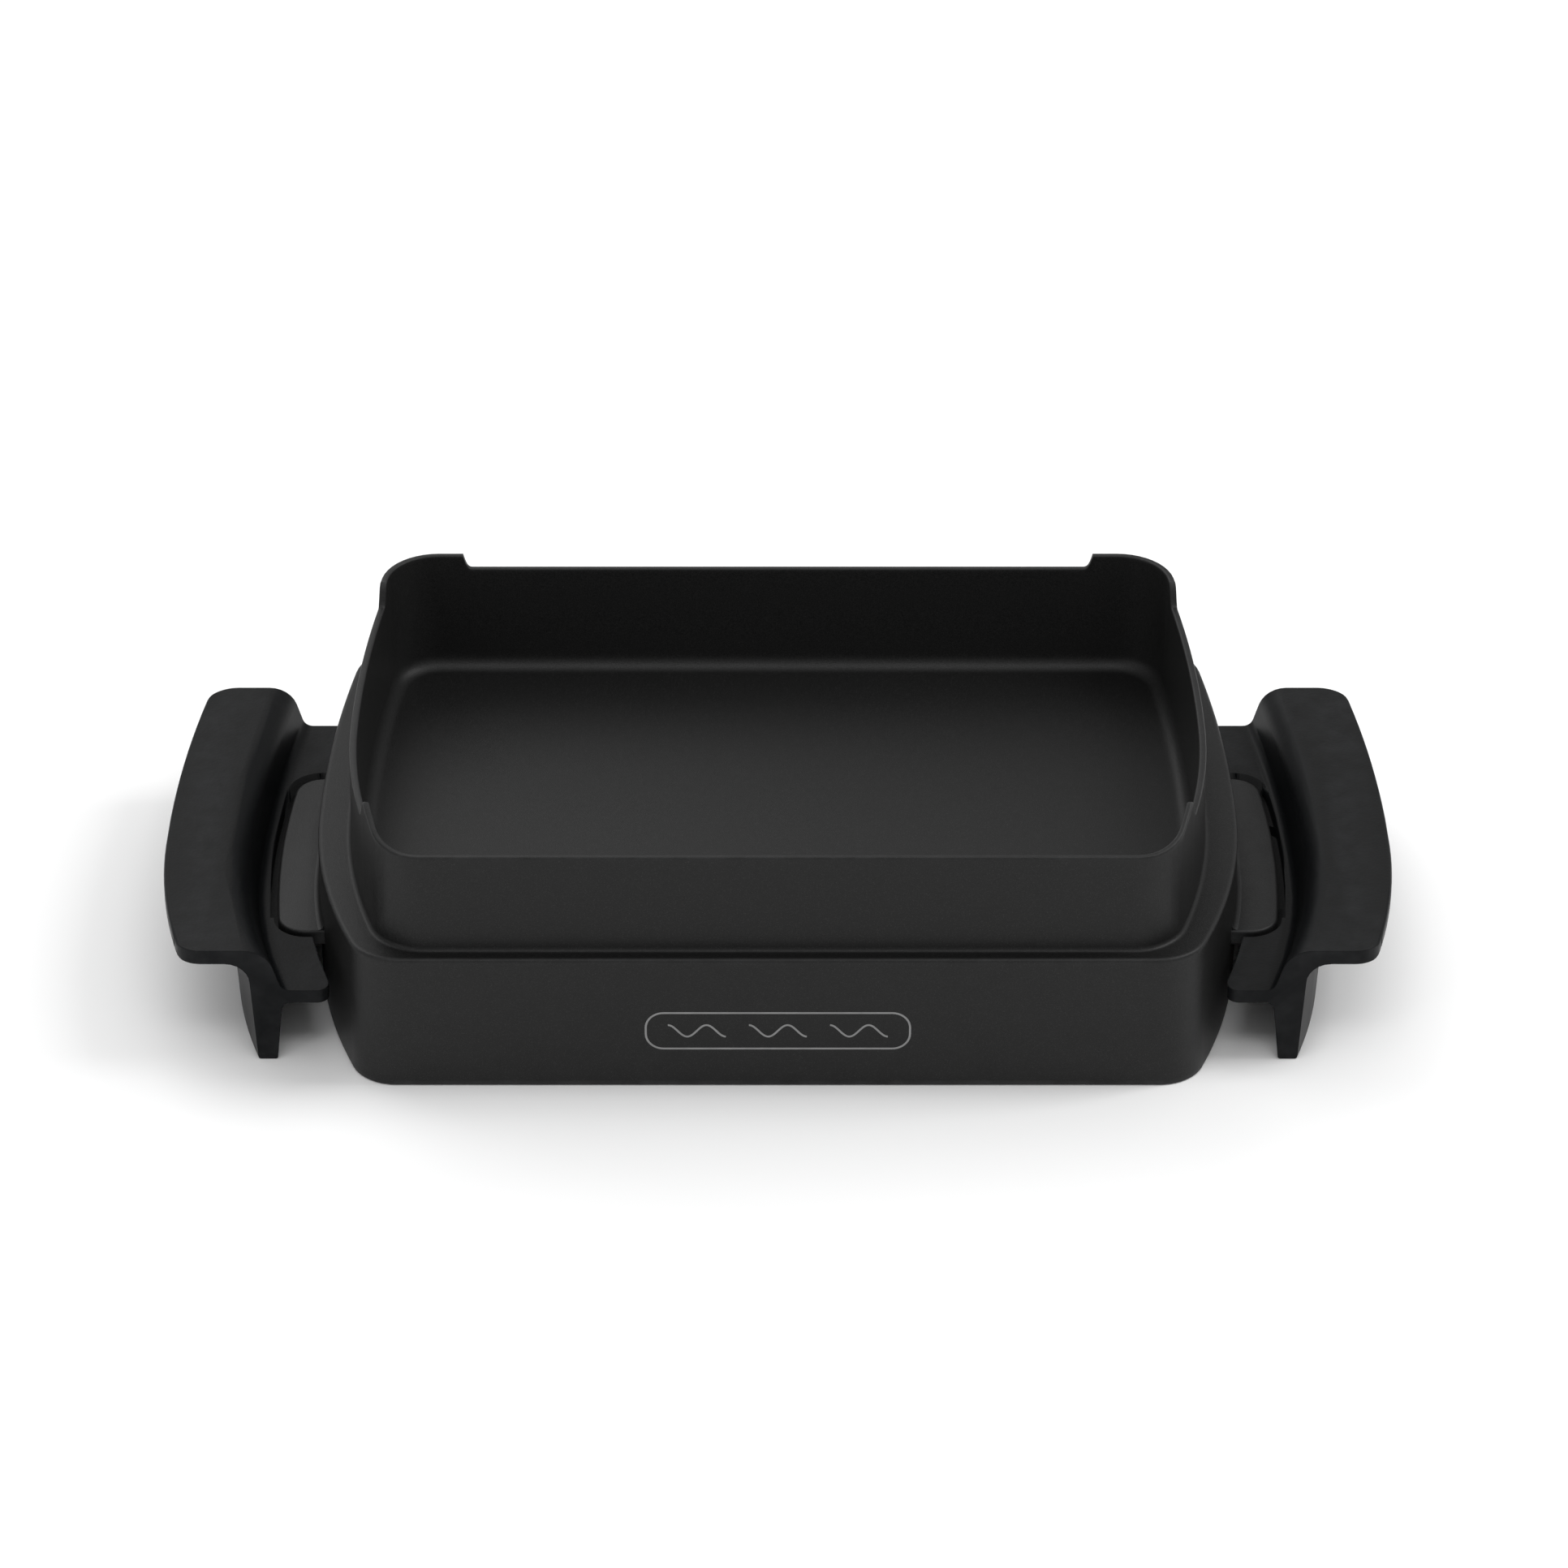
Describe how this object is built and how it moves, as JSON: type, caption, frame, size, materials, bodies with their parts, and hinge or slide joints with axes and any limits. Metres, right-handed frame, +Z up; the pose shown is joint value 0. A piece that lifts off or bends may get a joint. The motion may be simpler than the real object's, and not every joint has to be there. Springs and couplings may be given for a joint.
{
  "type": "baking dish for a contact grill",
  "caption": "Rectangular cast baking dish with bowed sides, a hollow skirt, a stepped rim with corner horns, and bolted side handles.",
  "frame": {"origin": "centre of the footprint on the table, at the bottom of the skirt", "axes": "+X along the long side towards the right handle, +Y towards the back rim, +Z up"},
  "size_m": [0.4338, 0.204, 0.098],
  "materials": {
    "coating": "fine speckled matte non-stick coating over die-cast aluminium",
    "grip_plastic": "semi-gloss moulded black with a fine leather grain",
    "fastener_steel": "zinc-plated steel"
  },
  "bodies": {
    "root": {"dish": "coating", "left_handle": "grip_plastic", "right_handle": "grip_plastic", "left_front_screw": "fastener_steel", "left_front_washer": "fastener_steel", "left_rear_screw": "fastener_steel", "left_rear_washer": "fastener_steel", "right_front_screw": "fastener_steel", "right_front_washer": "fastener_steel", "right_rear_screw": "fastener_steel", "right_rear_washer": "fastener_steel"}
  },
  "joints": []
}
